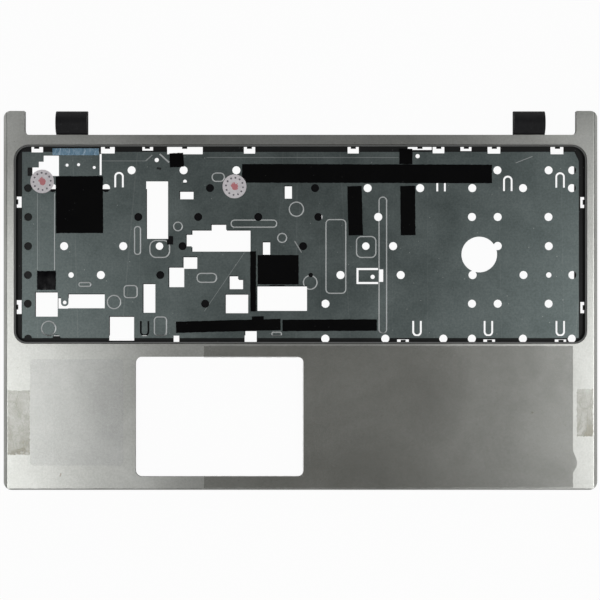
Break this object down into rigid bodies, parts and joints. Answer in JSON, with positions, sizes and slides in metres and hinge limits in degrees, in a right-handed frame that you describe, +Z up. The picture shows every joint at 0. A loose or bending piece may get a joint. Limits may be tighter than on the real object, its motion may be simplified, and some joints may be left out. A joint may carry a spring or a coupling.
{
  "type": "laptop palm rest",
  "caption": "Silver upper case of a laptop with a black-framed keyboard well, a pierced and stamped keyboard plate, tapes and a touchpad opening.",
  "frame": {"origin": "under the middle of the part, on the plane that the cover's rim stands on", "axes": "+X along the part to the user's right, +Y to the rear hinge side, +Z up out of the deck"},
  "size_m": [0.382, 0.2434, 0.0122],
  "materials": {
    "silver_cover": "satin warm silver paint",
    "black_frame": "fine moulded black",
    "plate_steel": "dull grey stamped sheet",
    "black_film": "matt black film",
    "cap_black": "fine ribbed black",
    "insert_brass": "knurled",
    "sticker_paper": "matt printed paper",
    "blue_film": "creased blue film",
    "clear_film": "thin clear film",
    "aged_tape": "yellowed clear tape",
    "black_tape": "matt black cloth tape"
  },
  "bodies": {
    "root": {"top_cover": "silver_cover", "well_frame": "black_frame", "keyboard_plate": "plate_steel", "insulator_sheet": "black_film", "hinge_cap_left": "cap_black", "hinge_cap_right": "cap_black", "brass_inserts": "insert_brass", "inspection_sticker_left": "sticker_paper", "inspection_sticker_centre": "sticker_paper", "blue_liner": "blue_film", "palm_film": "clear_film", "film_patch_left": "clear_film", "clear_tape_left": "aged_tape", "clear_tape_right": "aged_tape", "tape_rear_long": "black_tape", "tape_rear_tab": "black_tape", "tape_strip_centre": "black_tape", "tape_strip_right": "black_tape", "tape_square_left": "black_tape", "tape_square_rear": "black_tape", "tape_square_centre": "black_tape", "tape_bar_centre": "black_tape", "tape_front_left": "black_tape", "tape_front_right": "black_tape", "tape_wrap_left": "black_tape"}
  },
  "joints": []
}
